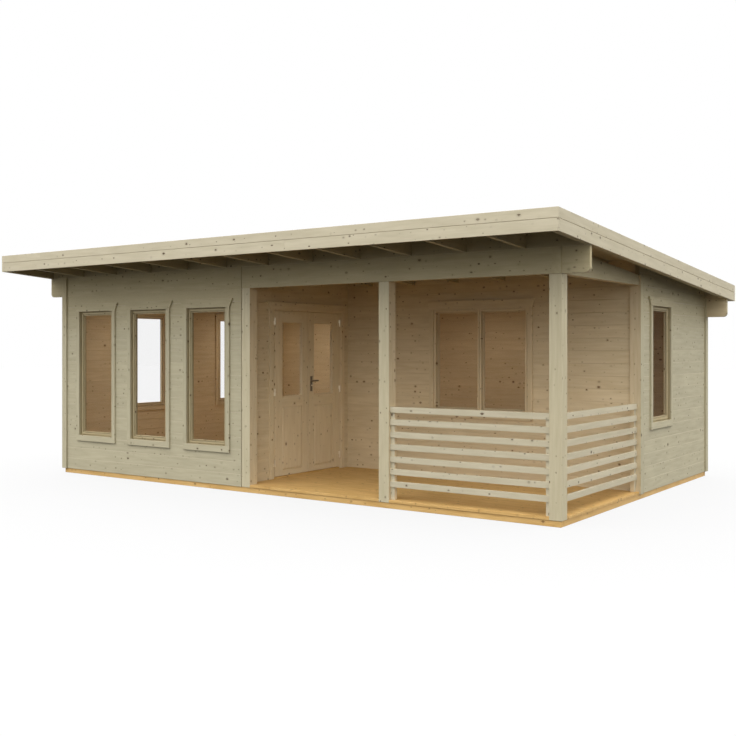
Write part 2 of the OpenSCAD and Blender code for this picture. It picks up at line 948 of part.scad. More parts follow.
module handle() {
  plate_z1 = lever_z + handle_plate_over;
  translate([leaf_x0 + handle_inset, 0, 0]) {
    box([-handle_plate[0] / 2, -handle_plate[1], plate_z1 - handle_plate[2]],
        [handle_plate[0] / 2, 0, plate_z1]);
    translate([0, 0, lever_z]) rotate([90, 0, 0]) cylinder(r = lever_r, h = handle_reach);
    translate([0, -handle_reach, lever_z]) sphere(r = lever_r);
    translate([0, -handle_reach, lever_z]) rotate([0, 90, 0]) cylinder(r = lever_r, h = lever_l);
  }
}

module door_handles() {
  color(metal) translate(mid_shift) on_door_wall(door_y) {
    handle();
    translate([0, leaf_t, 0]) mirror([0, 1, 0]) handle();
  }
}

// Balustrades: local x along the panel, y inwards; the rails are housed in a batten at each end
module balustrade(length) {
  for (k = [0 : rail_count - 1])
    translate([0, rail_setback, rail_z + k * rail_pitch]) cube([length, rail_t, rail_h]);
  top_z = rail_z + (rail_count - 1) * rail_pitch + rail_h;
  batten_y = rail_setback + batten_inset;
  for (x = [0, length - batten_w])
    box([x, batten_y, floor_z], [x + batten_w, batten_y + batten_w, top_z]);
}

module front_balustrade() {
  x0 = middle_post_x + post_w;
  color(timber) translate(mid_shift)
    translate([x0, 0, 0]) balustrade(house_w - post_w - x0);
}

module side_balustrade() {
  color(timber) translate(mid_shift)
    translate([house_w, post_w, 0]) rotate([0, 0, 90]) balustrade(terrace_d - trim_t - post_w);
}

long_bearers();
cross_bearers();
cabin_floor();
terrace_floor();
front_wall();
left_wall();
back_wall();
right_wall();
terrace_back_wall();
door_wall_front();
door_wall_rear();
door_wall_head();
corner_boards();
terrace_posts();
front_purlin();
terrace_front_beam();
terrace_side_beam();
back_purlin();
rafters();
rafter_fillers();
roof_boards();
roof_felt();
front_lower_fascia();
front_upper_fascia();
back_lower_fascia();
back_upper_fascia();
side_lower_fascias();
side_upper_fascias();
window_casings();
window_inner_casings();
window_frames();
window_sashes();
window_glass();
door_jambs();
door_frame_head();
door_threshold();
door_stops();
door_casing();
frame_hinges();
left_door_leaf();
left_door_glass();
left_door_hinges();
right_door_leaf();
right_door_glass();
right_door_hinges();
door_handles();
front_balustrade();
side_balustrade();
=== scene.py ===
"""Looks of the garden house: planed timber, glass, fittings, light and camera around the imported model."""
import math
import random

import bmesh
import bpy
from mathutils import Matrix, Vector


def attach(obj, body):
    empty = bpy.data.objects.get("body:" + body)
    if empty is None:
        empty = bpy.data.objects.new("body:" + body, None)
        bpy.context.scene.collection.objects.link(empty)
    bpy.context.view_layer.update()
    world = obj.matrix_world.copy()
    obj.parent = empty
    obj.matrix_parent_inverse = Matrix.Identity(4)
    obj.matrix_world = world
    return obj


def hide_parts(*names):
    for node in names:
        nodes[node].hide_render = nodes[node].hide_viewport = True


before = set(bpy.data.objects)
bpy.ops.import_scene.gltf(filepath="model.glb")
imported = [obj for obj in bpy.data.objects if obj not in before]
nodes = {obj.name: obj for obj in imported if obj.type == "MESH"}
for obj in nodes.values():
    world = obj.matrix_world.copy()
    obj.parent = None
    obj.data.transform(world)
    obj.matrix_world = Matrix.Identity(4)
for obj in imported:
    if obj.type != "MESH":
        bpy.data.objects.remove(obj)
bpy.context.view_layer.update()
draw = random.Random(11)

# House sizes in millimetres, as in the CAD source: x from the left wall face, y from the front wall face
MM = 0.001
HOUSE_W, HOUSE_D = 6750, 4300
CABIN_W, TERRACE_D = 3009, 1955
WALL_T, TRIM_T = 44, 20
BASE_H, FLOOR_Z, COURSE_H = 57, 84, 135
POST_W, MIDDLE_POST_X = 120, 4819.5
ROOF_X0, ROOF_X1, ROOF_Y0, ROOF_Y1 = -283, 7033, -704, 4536
ROOF_FRONT_Z, ROOF_PITCH = 2453, 3.87
ROOF_FALL = math.tan(math.radians(ROOF_PITCH))
RAFTER_H, ROOF_BOARD_Z, FASCIA_T = 163, 182, 20
# The model's origin, in metres, is on the ground under the middle of the roof
ORIGIN_X, ORIGIN_Y = 3.375, 1.916
HOUSE = Matrix.Translation((-ORIGIN_X, -ORIGIN_Y, 0)) @ Matrix.Scale(MM, 4)
# On the roof, z is measured plumb over the rafter undersides
ROOF = HOUSE @ Matrix(((1, 0, 0, 0), (0, 1, 0, 0), (0, -ROOF_FALL, 1, ROOF_FRONT_Z), (0, 0, 0, 1)))


def on_wall(x, y, turn=0):
    """A place on a wall: local x runs along it, y into it and z up, in millimetres."""
    return HOUSE @ Matrix.Translation((x, y, 0)) @ Matrix.Rotation(math.radians(turn), 4, "Z")


# Windows: place, clear width, clear foot; every clear head is at one height
WINDOW_HEAD = 2019
WINDOW_W, DOUBLE_W = 602, 1217
TALL_FOOT, SIDE_FOOT, DOUBLE_FOOT = 487, 774, 831
FRONT_WINDOWS_X, LEFT_WINDOWS_Y = (612, 1548.5, 2485), (1351, 3031)
RIGHT_WINDOW_Y, DOUBLE_X, DOOR_Y = 2614, 4879.5, 1163
WINDOWS = [(on_wall(x, 0), WINDOW_W, TALL_FOOT) for x in FRONT_WINDOWS_X]
WINDOWS += [(on_wall(0, y, -90), WINDOW_W, SIDE_FOOT) for y in LEFT_WINDOWS_Y]
WINDOWS += [(on_wall(HOUSE_W, RIGHT_WINDOW_Y, 90), WINDOW_W, SIDE_FOOT),
            (on_wall(DOUBLE_X, TERRACE_D), DOUBLE_W, DOUBLE_FOOT)]
DOOR = on_wall(CABIN_W, DOOR_Y, 90)


# Materials

def linear(hex_colour):
    """An sRGB hex colour as linear red, green, blue and alpha."""
    parts = [int(hex_colour[i:i + 2], 16) / 255 for i in (1, 3, 5)]
    return [p / 12.92 if p <= 0.04045 else ((p + 0.055) / 1.055) ** 2.4 for p in parts] + [1.0]


def add(tree, kind, inputs=None, **settings):
    """Adds a node with its settings, values and links, and gives it back."""
    node = tree.nodes.new(kind)
    for key, value in settings.items():
        setattr(node, key, value)
    for key, value in (inputs or {}).items():
        if isinstance(value, bpy.types.NodeSocket):
            tree.links.new(value, node.inputs[key])
        else:
            node.inputs[key].default_value = value
    return node


def start_material(name):
    material = bpy.data.materials.new(name)
    material.use_nodes = True
    material.node_tree.nodes.clear()
    return material, material.node_tree


def timber(name, early, late, knot, roughness, dry_and_warm_shade=None):
    """Planed softwood. The eye gets soft streaks along the board, fine ring lines, small dark knots with a
    halo, and a slightly different tone on every board. Each board carries its own grain coordinates.
    dry_and_warm_shade gives the two wood colours high up under the eaves: less weathered there, and warmer as
    a painted warm shade."""
    material, tree = start_material(name)
    grain = add(tree, "ShaderNodeAttribute", attribute_name="grain").outputs["Vector"]
    tone = add(tree, "ShaderNodeAttribute", attribute_name="tone").outputs["Fac"]
    # Growth rings cut flat: flames 40 mm wide and 300 mm long
    streak_at = add(tree, "ShaderNodeVectorMath", {0: grain, 1: (3.3, 25, 25)},
                    operation="MULTIPLY").outputs[0]
    streak = add(tree, "ShaderNodeTexNoise", {"Vector": streak_at, "Scale": 1, "Detail": 3}).outputs["Fac"]
    # Ring lines, 3 mm apart on the real board, drawn 6 mm apart to show
    line_at = add(tree, "ShaderNodeVectorMath", {0: grain, 1: (3, 160, 160)},
                  operation="MULTIPLY").outputs[0]
    line = add(tree, "ShaderNodeTexNoise", {"Vector": line_at, "Scale": 1, "Detail": 2}).outputs["Fac"]
    mixed = add(tree, "ShaderNodeMix", {0: 0.3, 2: streak, 3: line}, data_type="FLOAT").outputs[0]
    late_part = add(tree, "ShaderNodeMapRange", {0: mixed, 1: 0.32, 2: 0.7}, clamp=True).outputs[0]
    wood = add(tree, "ShaderNodeMix", {0: late_part, 6: linear(early), 7: linear(late)},
               data_type="RGBA").outputs[2]
    if dry_and_warm_shade:
        # From 1.7 m up to the eaves at 2.4 m the wood is less weathered, out of the rain, and warmer:
        # a painted warm shade under the roof
        place = add(tree, "ShaderNodeTexCoord").outputs["Object"]
        level = add(tree, "ShaderNodeSeparateXYZ", {0: place}).outputs[2]
        shelter_and_shade = add(tree, "ShaderNodeMapRange", {0: level, 1: 1.7, 2: 2.4}).outputs[0]
        fresh_and_warm_shade = add(tree, "ShaderNodeMix", {0: late_part, 6: linear(dry_and_warm_shade[0]), 7: linear(dry_and_warm_shade[1])},
                    data_type="RGBA").outputs[2]
        wood = add(tree, "ShaderNodeMix", {0: shelter_and_shade, 6: wood, 7: fresh_and_warm_shade}, data_type="RGBA").outputs[2]
    # Each board a little lighter or darker than the next, and cloudy over half a metre
    cloud = add(tree, "ShaderNodeTexNoise", {"Vector": grain, "Scale": 1.8, "Detail": 2}).outputs["Fac"]
    cloud_gain = add(tree, "ShaderNodeMapRange", {0: cloud, 1: 0.3, 2: 0.7, 3: 0.97, 4: 1.03}).outputs[0]
    board_gain = add(tree, "ShaderNodeMapRange", {0: tone, 3: 0.975, 4: 1.025}).outputs[0]
    gain = add(tree, "ShaderNodeMath", {0: cloud_gain, 1: board_gain}, operation="MULTIPLY").outputs[0]
    wood = add(tree, "ShaderNodeVectorMath", {0: wood, 3: gain}, operation="SCALE").outputs[0]
    # Oval knots 6 to 31 mm wide with ragged edges, about 120 mm apart; most are small, some stretches have
    # larger ones
    knot_at = add(tree, "ShaderNodeVectorMath", {0: grain, 1: (0.75, 1, 1)}, operation="MULTIPLY").outputs[0]
    cell = add(tree, "ShaderNodeTexVoronoi", {"Vector": knot_at, "Scale": 14}, voronoi_dimensions="2D")
    chance = add(tree, "ShaderNodeSeparateColor", {0: cell.outputs["Color"]})
    largest = add(tree, "ShaderNodeMapRange", {0: cloud, 1: 0.35, 2: 0.65, 3: 0.11, 4: 0.22}).outputs[0]
    few_large = add(tree, "ShaderNodeMath", {0: chance.outputs[0], 1: 2.2}, operation="POWER").outputs[0]
    radius = add(tree, "ShaderNodeMapRange", {0: few_large, 3: 0.045, 4: largest}).outputs[0]
    wobble = add(tree, "ShaderNodeMath", {0: streak, 1: 0.16, 2: -0.26}, operation="MULTIPLY_ADD").outputs[0]
    ragged = add(tree, "ShaderNodeMath", {0: line, 1: 0.36, 2: wobble}, operation="MULTIPLY_ADD").outputs[0]
    reach = add(tree, "ShaderNodeMath", {0: cell.outputs["Distance"], 1: ragged}, operation="ADD").outputs[0]
    share = add(tree, "ShaderNodeMath", {0: reach, 1: radius}, operation="DIVIDE").outputs[0]
    # A dark core in a faint halo; half of the knots stay as pale as the wood
    halo = add(tree, "ShaderNodeMapRange", {0: share, 1: 0.8, 2: 2.2, 3: 0.2, 4: 0}).outputs[0]
    core = add(tree, "ShaderNodeMapRange", {0: share, 1: 0.6, 2: 1.0, 3: 0.75, 4: 0}).outputs[0]
    spot = add(tree, "ShaderNodeMath", {0: core, 1: halo}, operation="ADD").outputs[0]
    depth = add(tree, "ShaderNodeMapRange", {0: chance.outputs[1], 1: 0.5, 2: 0.95}).outputs[0]
    dark = add(tree, "ShaderNodeMath", {0: spot, 1: depth}, operation="MULTIPLY").outputs[0]
    wood = add(tree, "ShaderNodeMix", {0: dark, 6: wood, 7: linear(knot)}, data_type="RGBA").outputs[2]
    # Ring lines are duller and stand a little proud, drawn up to 0.8 mm to show; knots dip
    dull = add(tree, "ShaderNodeMapRange", {0: line, 3: roughness - 0.06, 4: roughness + 0.06}).outputs[0]
    height = add(tree, "ShaderNodeMath", {0: mixed, 1: dark}, operation="SUBTRACT").outputs[0]
    bump = add(tree, "ShaderNodeBump", {"Height": height, "Strength": 0.5, "Distance": 0.0008}).outputs[0]
    shader = add(tree, "ShaderNodeBsdfPrincipled", {
        "Base Color": wood, "Roughness": dull, "Normal": bump, "IOR": 1.45, "Specular IOR Level": 0.3})
    add(tree, "ShaderNodeOutputMaterial", {"Surface": shader.outputs[0]})
    return material


def window_glass():
    """Float glass: clear and a little grey, with a weak sharp reflection of the sky."""
    material, tree = start_material("float_glass")
    shader = add(tree, "ShaderNodeBsdfPrincipled", {
        "Base Color": linear("#1A1E1C"), "Roughness": 0.03, "IOR": 1.5, "Alpha": 0.03})
    add(tree, "ShaderNodeOutputMaterial", {"Surface": shader.outputs[0]})
    return material


def plated_metal(name, colour, metallic, roughness, spread):
    """Zinc-plated or bronzed steel: an even colour with faint 4 mm clouds in its gloss."""
    material, tree = start_material(name)
    place = add(tree, "ShaderNodeTexCoord").outputs["Object"]
    cloud = add(tree, "ShaderNodeTexNoise", {"Vector": place, "Scale": 250, "Detail": 2}).outputs["Fac"]
    gloss = add(tree, "ShaderNodeMapRange", {
        0: cloud, 3: roughness - spread, 4: roughness + spread}).outputs[0]
    bump = add(tree, "ShaderNodeBump", {"Height": cloud, "Strength": 0.1, "Distance": 0.0002}).outputs[0]
    shader = add(tree, "ShaderNodeBsdfPrincipled", {
        "Base Color": linear(colour), "Metallic": metallic, "Roughness": gloss, "Normal": bump})
    add(tree, "ShaderNodeOutputMaterial", {"Surface": shader.outputs[0]})
    return material


def mineral_felt():
    """Bitumen roofing felt with slate granules: a matt dark sheet, speckled at the size of the grit."""
    material, tree = start_material("mineral_felt")
    place = add(tree, "ShaderNodeTexCoord").outputs["Object"]
    # Granules are 1 mm across; drawn 4 mm across to show
    grit = add(tree, "ShaderNodeTexVoronoi", {"Vector": place, "Scale": 250})
    speck = add(tree, "ShaderNodeSeparateColor", {0: grit.outputs["Color"]}).outputs[0]
    # Weathered patches about 400 mm across
    patch = add(tree, "ShaderNodeTexNoise", {"Vector": place, "Scale": 2.5, "Detail": 4}).outputs["Fac"]
    share = add(tree, "ShaderNodeMix", {0: 0.45, 2: speck, 3: patch}, data_type="FLOAT").outputs[0]
    slate = add(tree, "ShaderNodeMix", {0: share, 6: linear("#2E3130"), 7: linear("#555955")},
                data_type="RGBA").outputs[2]
    bump = add(tree, "ShaderNodeBump", {
        "Height": grit.outputs["Distance"], "Strength": 0.5, "Distance": 0.001}).outputs[0]
    shader = add(tree, "ShaderNodeBsdfPrincipled", {
        "Base Color": slate, "Roughness": 0.92, "Normal": bump})
    add(tree, "ShaderNodeOutputMaterial", {"Surface": shader.outputs[0]})
    return material


# Log walls and boards in the weather: greyed, and yellower high up under the eaves, partly as a painted warm
# shade
SPRUCE = timber("weathered_spruce", "#C2BA9D", "#B2A98D", "#4E3822", 0.66, ("#C1B38C", "#B2A47E"))
# Fascia, balustrades and log chamfers: newly planed, the palest wood outside; on the up-facing chamfers this
# is a painted highlight, and on the rails and battens it partly paints in light that the roof and rails shade
# off
PLANED_AND_HIGHLIT = timber("planed_and_highlit_spruce", "#CEC4AA", "#C0B69A", "#4E3822", 0.64)
# Terrace posts: as fresh, and a little yellower
POST = timber("post_spruce", "#CDC2A3", "#BFB494", "#4E3822", 0.64)
# Wood out of the rain, and on faces in the rooms, on the terrace and under the eaves: pale and warm, with
# brown knots; the paleness and warmth are partly painted light
SHELTERED_AND_LIT = timber("sheltered_and_lit_spruce", "#DBCAA8", "#CCB994", "#684424", 0.62)
# Door and its frame: picked wood, the palest, with faint knots; the paleness is partly painted light that the
# door wall lacks under the roof
JOINERY = timber("joinery_spruce", "#E1D0AE", "#D6C39E", "#806040", 0.6)
# Window frames and sashes: a darker line round the glass, browner wood darkened as a painted shade of the
# casing
SASH = timber("sash_spruce", "#B8AA87", "#A99A76", "#4E3822", 0.62)
# Rafters and roof boards: brownish, darker than the walls as a painted shade under the roof, with nearly black
# knots
EAVES_SHADE = timber("eaves_shade_spruce", "#B9AB88", "#AA9A76", "#3A2817", 0.66)
# Floor boards, threshold and bearers: honey yellow with a soft gleam
FLOOR_PINE = timber("oiled_pine", "#DEB777", "#C49A58", "#6B4520", 0.55)
GLASS = window_glass()
# Hinges and lock: pale satin metal
ZINC = plated_metal("zinc_plate", "#F4EAD4", 0.9, 0.48, 0.08)
# Door handle: dark brown with a dull gleam
DARK_METAL = plated_metal("bronzed_metal", "#7C7063", 0.45, 0.4, 0.05)
FELT = mineral_felt()


# Making pieces

# Facets of an eased edge
EASE_STEPS = 2
# A CAD mesh's loose triangles are merged and its flat faces joined before its sharp edges are eased
MERGE_DIST, FLAT_ANGLE, SHARP_ANGLE = 1e-5, 0.02, 0.5
# A vertex this near a face's plane belongs to it, in millimetres
ON_FACE = 0.5
# Faces that get the paler, warmer wood, partly painted light, look down under the eaves, or at a point this
# far off, in metres, inside the walls and posts
DRY_AND_LIT_REACH, DRY_AND_LIT_X, DRY_AND_LIT_Y = 0.1, (40, HOUSE_W - 35), (50, HOUSE_D - 40)
EAVES_Z, LOOKS_DOWN = 1900, -0.7
# Log chamfers face up at this range of normal z, and get the palest wood as a painted highlight
CHAMFER_SLOPE = (0.3, 0.7)
# Each board's grain starts somewhere in a block of wood this many metres wide
GRAIN_BLOCK = 60


def start_piece(mesh=None):
    bm = bmesh.new()
    if mesh:
        bm.from_mesh(mesh)
    bm.verts.layers.float_vector.new("grain")
    bm.verts.layers.float.new("tone")
    return bm


def stamp(bm, verts, grain, unit=MM):
    """Gives one board its grain coordinates in metres and its tone. grain names the axis along the board and
    the axis across its broad face, or + for timber that shows two broad faces."""
    along = "xyz".index(grain[0])
    others = [i for i in range(3) if i != along]
    if grain[1] != "+" and "xyz".index(grain[1]) != others[0]:
        others.reverse()
    shift = Vector([draw.uniform(0, GRAIN_BLOCK) for _ in range(3)])
    tone = draw.random()
    grain_layer, tone_layer = bm.verts.layers.float_vector["grain"], bm.verts.layers.float["tone"]
    for v in verts:
        a, b = v.co[others[0]], v.co[others[1]]
        across, deep = (a + b, a - b) if grain[1] == "+" else (a, b)
        v[grain_layer] = Vector((v.co[along], across, deep)) * unit + shift
        v[tone_layer] = tone


def board(bm, low, high, grain, place=HOUSE, ease=2.0, flare=0):
    """A planed board between two corners, in millimetres, with eased edges; flare widens its top along x."""
    low, high = Vector(low), Vector(high)
    box = Matrix.Translation((low + high) / 2) @ Matrix.Diagonal((*(high - low), 1))
    verts = bmesh.ops.create_cube(bm, size=1, matrix=box)["verts"]
    for v in verts:
        if flare and v.co.z > (low.z + high.z) / 2:
            v.co.x += math.copysign(flare, v.co.x - (low.x + high.x) / 2)
    edges = list({e for v in verts for e in v.link_edges})
    verts = bmesh.ops.bevel(bm, geom=edges, offset=ease, offset_type="OFFSET", affect="EDGES",
                            segments=EASE_STEPS, profile=0.5, material=-1)["verts"]
    stamp(bm, verts, grain)
    bmesh.ops.transform(bm, matrix=place, verts=verts)


def dry_and_lit(centre, normal):
    """Whether a face looks into a room, onto the covered terrace or down from the eaves."""
    x, y, z = HOUSE.inverted() @ (centre + normal * DRY_AND_LIT_REACH)
    if normal.z < LOOKS_DOWN and z > EAVES_Z:
        return True
    return DRY_AND_LIT_X[0] < x < DRY_AND_LIT_X[1] and DRY_AND_LIT_Y[0] < y < DRY_AND_LIT_Y[1]


def end_piece(bm, name, material, slot, body, *replaced):
    """Makes the object, puts it on its body and lets it stand for its CAD nodes. Faces of weathered timber
    that look out of the rain, into the rooms, onto the terrace or down from the eaves get the paler, warmer
    wood, partly painted light; up-facing log chamfers get the palest wood, a painted highlight."""
    mesh = bpy.data.meshes.new(name)
    bm.to_mesh(mesh)
    bm.free()
    piece = bpy.data.objects.new(name, mesh)
    bpy.context.scene.collection.objects.link(piece)
    mesh.materials.append(material)
    # Faces out of the rain, in the rooms, on the terrace and under the eaves get the paler, warmer wood:
    # partly painted light
    if material in (SPRUCE, PLANED_AND_HIGHLIT, POST, SASH):
        mesh.materials.append(SHELTERED_AND_LIT)
        for face in mesh.polygons:
            face.material_index = int(dry_and_lit(face.center, face.normal))
    if material == SPRUCE:
        # The chamfer along each log faces up and gets the palest wood: a painted highlight
        mesh.materials.append(PLANED_AND_HIGHLIT)
        for face in mesh.polygons:
            if face.material_index == 0 and CHAMFER_SLOPE[0] < face.normal.z < CHAMFER_SLOPE[1]:
                face.material_index = 2
    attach(piece, body)
    if replaced:
        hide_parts(*replaced)


def solids_of(bm):
    """The separate solids of a mesh, each as a list of its vertices."""
    left, found = set(bm.verts), []
    for first in list(bm.verts):
        if first not in left:
            continue
        left.discard(first)
        solid, reached = [first], [first]
        while reached:
            for e in reached.pop().link_edges:
                for v in e.verts:
                    if v in left:
                        left.discard(v)
                        solid.append(v)
                        reached.append(v)
        found.append(solid)
    return found


def carried(node, grain, material=SPRUCE, slot="spruce", ease=2.0, logs=False, clear=(), body="house"):
    """A CAD node's solids with eased edges and grain along their boards; logs gives every wall course its own
    grain. clear lists the faces that stand off a neighbour for a shadow line: axis, place and shift in
    millimetres."""
    bm = start_piece(nodes[node].data)
    bmesh.ops.remove_doubles(bm, verts=bm.verts, dist=MERGE_DIST)
    bmesh.ops.dissolve_limit(bm, angle_limit=FLAT_ANGLE, verts=bm.verts, edges=bm.edges)
    for axis, at, shift in clear:
        at = at * MM + HOUSE.translation[axis]
        for v in bm.verts:
            if abs(v.co[axis] - at) < ON_FACE * MM:
                v.co[axis] += shift * MM
    if ease:
        sharp = [e for e in bm.edges if len(e.link_faces) == 2 and e.calc_face_angle() > SHARP_ANGLE]
        bmesh.ops.bevel(bm, geom=sharp, offset=ease * MM, offset_type="OFFSET", affect="EDGES",
                        segments=EASE_STEPS, profile=0.5, material=-1)
    for solid in solids_of(bm):
        if not logs:
            stamp(bm, solid, grain, unit=1)
            continue
        courses = {}
        for v in solid:
            course = math.floor((v.co.z / MM - BASE_H + ON_FACE) / COURSE_H)
            courses.setdefault(course, []).append(v)
        for course in sorted(courses):
            stamp(bm, courses[course], grain, unit=1)
    end_piece(bm, node + "_eased", material, slot, body, node)


def ring(bm, place, x, z, y, width, ease):
    """A mortised frame: two uprights with rails between them. x, z and y are the outer ranges."""
    for side in (x[0], x[1] - width):
        board(bm, (side, y[0], z[0]), (side + width, y[1], z[1]), "zx", place, ease)
    for foot in (z[0], z[1] - width):
        board(bm, (x[0] + width, y[0], foot), (x[1] - width, y[1], foot + width), "xz", place, ease)


# Walls, posts, beams and rafters

for wall, run in (("front_wall", "xz"), ("back_wall", "xz"), ("left_wall", "yz"), ("right_wall", "yz"),
                  ("terrace_back_wall", "xz"), ("door_wall_front", "yz"), ("door_wall_rear", "yz"),
                  ("door_wall_head", "yz")):
    carried(wall, run, ease=0, logs=True)
carried("corner_boards", "z+")
# The first post and the front beam stand 4 mm clear of the front wall's end
WALL_END = ((0, CABIN_W, 4),)
carried("terrace_posts", "z+", POST, ease=3, clear=WALL_END)
carried("terrace_front_beam", "xz", ease=3, clear=WALL_END)
for node, run in (("front_purlin", "xz"), ("terrace_side_beam", "yz"), ("back_purlin", "xz"),
                  ("rafter_fillers", "xz")):
    carried(node, run, ease=3)
carried("rafters", "y+", EAVES_SHADE)
for node, run in (("door_jambs", "z+"), ("door_frame_head", "y+"), ("door_stops", "z+")):
    carried(node, run, JOINERY)
# The bearers stand 9 mm back, so the walls and the floor drip clear of them
SET_BACK = ((0, 0, 9), (0, HOUSE_W, -9), (1, 0, 9), (1, HOUSE_D, -9))
for node, run in (("long_bearers", "xz"), ("cross_bearers", "yz")):
    carried(node, run, FLOOR_PINE, "floor_pine", ease=3, clear=SET_BACK)
carried("door_threshold", "y+", FLOOR_PINE, "floor_pine", ease=3)


# Floors: boards along the front, notched round the posts and the corner board

def floor_row(bm, spans, y0, y1):
    for x0, x1 in spans:
        board(bm, (x0, y0, BASE_H), (x1, y1, FLOOR_Z), "xy", ease=1.5)


terrace_floor = start_piece()
between_posts = [(CABIN_W + POST_W, MIDDLE_POST_X), (MIDDLE_POST_X + POST_W, HOUSE_W - POST_W)]
floor_row(terrace_floor, between_posts, 0, POST_W)
FLOOR_ROWS, LAST_FLOOR_Y, CORNER_BOARD_X = 13, 1935, 6650
row_w = (LAST_FLOOR_Y - POST_W) / FLOOR_ROWS
for k in range(FLOOR_ROWS):
    floor_row(terrace_floor, [(CABIN_W, HOUSE_W)], POST_W + k * row_w, POST_W + (k + 1) * row_w)
floor_row(terrace_floor, [(CABIN_W, CORNER_BOARD_X)], LAST_FLOOR_Y, TERRACE_D)
end_piece(terrace_floor, "terrace_floor_boards", FLOOR_PINE, "floor_pine", "house", "terrace_floor")

cabin_floor = start_piece()
DOOR_FRAME_Y, DOOR_FRAME_X = (500, 1826), 2945
CABIN_ROWS = 30
row_w = (HOUSE_D - 2 * WALL_T) / CABIN_ROWS
for k in range(CABIN_ROWS):
    y0 = WALL_T + k * row_w
    behind_terrace = y0 + 1 > TERRACE_D + WALL_T
    beside_door = y0 < DOOR_FRAME_Y[1] and y0 + row_w > DOOR_FRAME_Y[0]
    end_x = HOUSE_W - WALL_T if behind_terrace else DOOR_FRAME_X if beside_door else CABIN_W - WALL_T
    floor_row(cabin_floor, [(WALL_T, end_x)], y0, y0 + row_w)
end_piece(cabin_floor, "cabin_floor_boards", FLOOR_PINE, "floor_pine", "house", "cabin_floor")


# Roof: boards across the rafters, lapped felt and two fascia boards all round

roof_boards = start_piece()
ROOF_BOARD_ROWS = 54
roof_y0, roof_y1 = ROOF_Y0 + FASCIA_T, ROOF_Y1 - FASCIA_T
row_w = (roof_y1 - roof_y0) / ROOF_BOARD_ROWS
for k in range(ROOF_BOARD_ROWS):
    y0 = roof_y0 + k * row_w
    board(roof_boards, (ROOF_X0 + FASCIA_T, y0, RAFTER_H), (ROOF_X1 - FASCIA_T, y0 + row_w, ROOF_BOARD_Z),
          "xy", ROOF, ease=3)
end_piece(roof_boards, "roof_boards_timber", EAVES_SHADE, "spruce", "house", "roof_boards")

roof_felt = start_piece()
FELT_STRIPS, FELT_LAP, FELT_T = 6, 80, 3
strip_w = (roof_y1 - roof_y0) / FELT_STRIPS
for k in range(FELT_STRIPS):
    y0 = roof_y0 + k * strip_w
    laps_next = k < FELT_STRIPS - 1
    y1 = y0 + strip_w + (FELT_LAP if laps_next else 0)
    tilt = Matrix.Identity(4)
    tilt[2][1] = FELT_T / (y1 - y0) if laps_next else 0
    board(roof_felt, (ROOF_X0 + FASCIA_T, 0, 0), (ROOF_X1 - FASCIA_T, y1 - y0, FELT_T), "xy",
          ROOF @ Matrix.Translation((0, y0, ROOF_BOARD_Z)) @ tilt, ease=1)
end_piece(roof_felt, "roof_felt_strips", FELT, "roof_felt", "house", "roof_felt")

# Fascia: height ranges over the rafter undersides, and the gap and easing where two boards of a run meet
UPPER, LOWER = (107, 193), (0, 104)
FASCIA_JOINT, FASCIA_EASE = 1.2, 1.2


def fascia_run(bm, ends, cross, height, axis):
    """Boards end to end between the given places, along x or y."""
    for a, b in zip(ends, ends[1:]):
        a, b = a + FASCIA_JOINT / 2 * (a != ends[0]), b - FASCIA_JOINT / 2 * (b != ends[-1])
        low = (a, cross[0], height[0]) if axis == "x" else (cross[0], a, height[0])
        high = (b, cross[1], height[1]) if axis == "x" else (cross[1], b, height[1])
        board(bm, low, high, axis + "z", ROOF, FASCIA_EASE)


FRONT_Y, BACK_Y = (ROOF_Y0, ROOF_Y0 + FASCIA_T), (ROOF_Y1 - FASCIA_T, ROOF_Y1)
LEFT_X, RIGHT_X = (ROOF_X0, ROOF_X0 + FASCIA_T), (ROOF_X1 - FASCIA_T, ROOF_X1)
# The last number of a run is where its two boards meet, in x
for node, cross, height, joint in (
        ("front_upper_fascia", FRONT_Y, UPPER, 460), ("front_lower_fascia", FRONT_Y, LOWER, 4200),
        ("back_upper_fascia", BACK_Y, UPPER, 2600), ("back_lower_fascia", BACK_Y, LOWER, 4700)):
    bm = start_piece()
    fascia_run(bm, (ROOF_X0, joint, ROOF_X1), cross, height, "x")
    end_piece(bm, node + "_timber", PLANED_AND_HIGHLIT, "spruce", "house", node)
# Joints in y of the left and the right run; None is a run of one board
for node, height, joints in (("side_upper_fascias", UPPER, (2900, 3551)),
                             ("side_lower_fascias", LOWER, (1500, None))):
    bm = start_piece()
    for cross, joint in zip((LEFT_X, RIGHT_X), joints):
        fascia_run(bm, [y for y in (roof_y0, joint, roof_y1) if y is not None], cross, height, "y")
    end_piece(bm, node + "_timber", PLANED_AND_HIGHLIT, "spruce", "house", node)


# Windows: a casing on the wall face, a frame with a lip, and a sash with a quirk and glazing beads. Widths are
# what shows from outside, and y is measured inwards from the wall face

CASING_W, CASING_SILL_H, CASING_HEAD_H, CASING_FLARE, DOUBLE_FLARE = 56, 71, 97, 46, 27
FRAME_LAP, FRAME_SHOW, FRAME_LIP_Y = 28, 12, (26, 44)
SASH_Y, SASH_W, QUIRK_W, BEAD_W = (13, 59), 21, 7, 9
QUIRK_Y, BEADS_Y = (29, 43), ((19, 33), (39, 53))
# The double window's frame and sashes come this far forward, nearly to the casing's face
DOUBLE_LIP_FORWARD, DOUBLE_SASH_FORWARD = 34, 27
SASH_MEETING = 3

